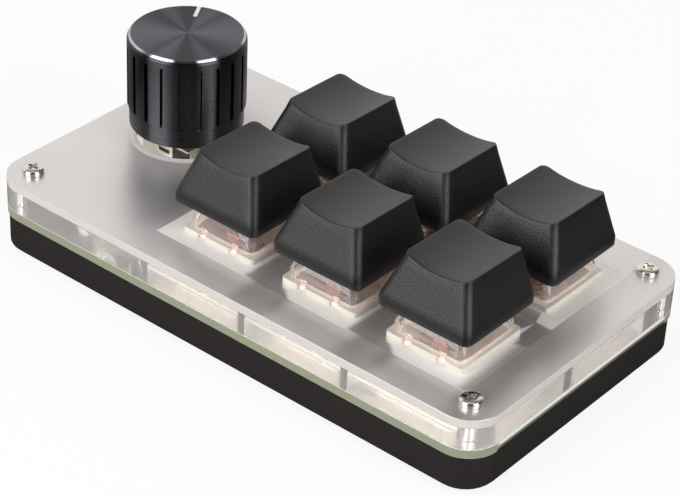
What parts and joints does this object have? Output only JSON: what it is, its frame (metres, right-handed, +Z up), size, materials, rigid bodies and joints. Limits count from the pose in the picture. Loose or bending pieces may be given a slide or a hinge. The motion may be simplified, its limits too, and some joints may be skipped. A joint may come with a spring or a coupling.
{
  "type": "macro keypad with knob",
  "caption": "Desk macro keypad: two rows of sprung mechanical keys and a grooved push-and-turn knob on a frosted acrylic plate, over a circuit board in a black tray.",
  "frame": {"origin": "middle of the underside, on the plane of the rubber feet", "axes": "+X along the case from the knob to the keys, +Y to the back wall with the cable socket, +Z up"},
  "size_m": [0.105, 0.058, 0.035],
  "materials": {
    "tray_black": "fine matt moulded black plastic",
    "foot_rubber": "matt black rubber",
    "insert_brass": "knurled machined brass",
    "screw_steel": "polished nickel-plated steel",
    "board_green": "green solder mask, pale fibreglass edge",
    "acrylic_clear": "clear polished acrylic with laser-cut edges",
    "acrylic_frosted": "satin frosted acrylic, glossier square round each key",
    "socket_steel": "bright stamped steel",
    "socket_plastic": "matt black plastic",
    "chip_plastic": "matt epoxy with tinned leads",
    "small_ceramic": "tan ceramic with tinned ends",
    "switch_cream": "satin cream nylon",
    "cover_clear": "clear moulded polycarbonate",
    "contact_copper": "bright copper alloy",
    "spring_steel": "bright spring wire and strip",
    "stem_plastic": "satin reddish-brown acetal",
    "keycap_black": "charcoal plastic with a fine sandy texture",
    "encoder_plastic": "matt black plastic",
    "encoder_steel": "bright folded sheet steel",
    "bushing_zinc": "die-cast zinc",
    "pin_tin": "tinned wire",
    "rotor_plastic": "pale acetal",
    "shaft_aluminium": "turned aluminium",
    "knob_black": "black anodised, fine turned, with bright-cut rim",
    "mark_white": "white paint fill",
    "grub_steel": "black oxide steel"
  },
  "bodies": {
    "case": {"bottom_tray": "tray_black", "rubber_feet": "foot_rubber", "brass_inserts": "insert_brass", "case_screws": "screw_steel", "circuit_board": "board_green", "spacer_frame": "acrylic_clear", "top_plate": "acrylic_frosted", "usb_shell": "socket_steel", "usb_tongue": "socket_plastic", "controller_chip": "chip_plastic", "board_parts": "small_ceramic", "switch_base_1": "switch_cream", "switch_base_2": "switch_cream", "switch_base_3": "switch_cream", "switch_base_4": "switch_cream", "switch_base_5": "switch_cream", "switch_base_6": "switch_cream", "switch_cover_1": "cover_clear", "switch_cover_2": "cover_clear", "switch_cover_3": "cover_clear", "switch_cover_4": "cover_clear", "switch_cover_5": "cover_clear", "switch_cover_6": "cover_clear", "switch_contacts_1": "contact_copper", "switch_contacts_2": "contact_copper", "switch_contacts_3": "contact_copper", "switch_contacts_4": "contact_copper", "switch_contacts_5": "contact_copper", "switch_contacts_6": "contact_copper", "switch_spring_1": "spring_steel", "switch_spring_2": "spring_steel", "switch_spring_3": "spring_steel", "switch_spring_4": "spring_steel", "switch_spring_5": "spring_steel", "switch_spring_6": "spring_steel", "encoder_base": "encoder_plastic", "encoder_frame": "encoder_steel", "encoder_bushing": "bushing_zinc", "encoder_pins": "pin_tin", "encoder_dome": "spring_steel", "encoder_click_spring": "spring_steel"},
    "key_1": {"switch_stem_1": "stem_plastic", "keycap_1": "keycap_black"},
    "key_2": {"switch_stem_2": "stem_plastic", "keycap_2": "keycap_black"},
    "key_3": {"switch_stem_3": "stem_plastic", "keycap_3": "keycap_black"},
    "key_4": {"switch_stem_4": "stem_plastic", "keycap_4": "keycap_black"},
    "key_5": {"switch_stem_5": "stem_plastic", "keycap_5": "keycap_black"},
    "key_6": {"switch_stem_6": "stem_plastic", "keycap_6": "keycap_black"},
    "dial_rotor": {"encoder_rotor": "rotor_plastic"},
    "dial": {"encoder_shaft": "shaft_aluminium", "knob": "knob_black", "knob_mark": "mark_white", "knob_grub_screw": "grub_steel"}
  },
  "joints": [
    {"name": "key_1_press", "type": "slide", "parent": "case", "child": "key_1", "axis": [0, 0, 1], "range_m": [-0.004, 0], "stiffness_N_per_m": 75, "springref_m": 0.004, "deforming": ["switch_spring_1"]},
    {"name": "key_2_press", "type": "slide", "parent": "case", "child": "key_2", "axis": [0, 0, 1], "range_m": [-0.004, 0], "stiffness_N_per_m": 75, "springref_m": 0.004, "deforming": ["switch_spring_2"]},
    {"name": "key_3_press", "type": "slide", "parent": "case", "child": "key_3", "axis": [0, 0, 1], "range_m": [-0.004, 0], "stiffness_N_per_m": 75, "springref_m": 0.004, "deforming": ["switch_spring_3"]},
    {"name": "key_4_press", "type": "slide", "parent": "case", "child": "key_4", "axis": [0, 0, 1], "range_m": [-0.004, 0], "stiffness_N_per_m": 75, "springref_m": 0.004, "deforming": ["switch_spring_4"]},
    {"name": "key_5_press", "type": "slide", "parent": "case", "child": "key_5", "axis": [0, 0, 1], "range_m": [-0.004, 0], "stiffness_N_per_m": 75, "springref_m": 0.004, "deforming": ["switch_spring_5"]},
    {"name": "key_6_press", "type": "slide", "parent": "case", "child": "key_6", "axis": [0, 0, 1], "range_m": [-0.004, 0], "stiffness_N_per_m": 75, "springref_m": 0.004, "deforming": ["switch_spring_6"]},
    {"name": "dial_turn", "type": "hinge", "parent": "case", "child": "dial_rotor", "pos_m": [-0.0376, 0.004, 0.0149], "axis": [0, 0, 1], "continuous": true},
    {"name": "dial_push", "type": "slide", "parent": "dial_rotor", "child": "dial", "axis": [0, 0, 1], "range_m": [-0.0005, 0], "stiffness_N_per_m": 4000, "springref_m": 0.0005, "deforming": ["encoder_dome"]}
  ]
}
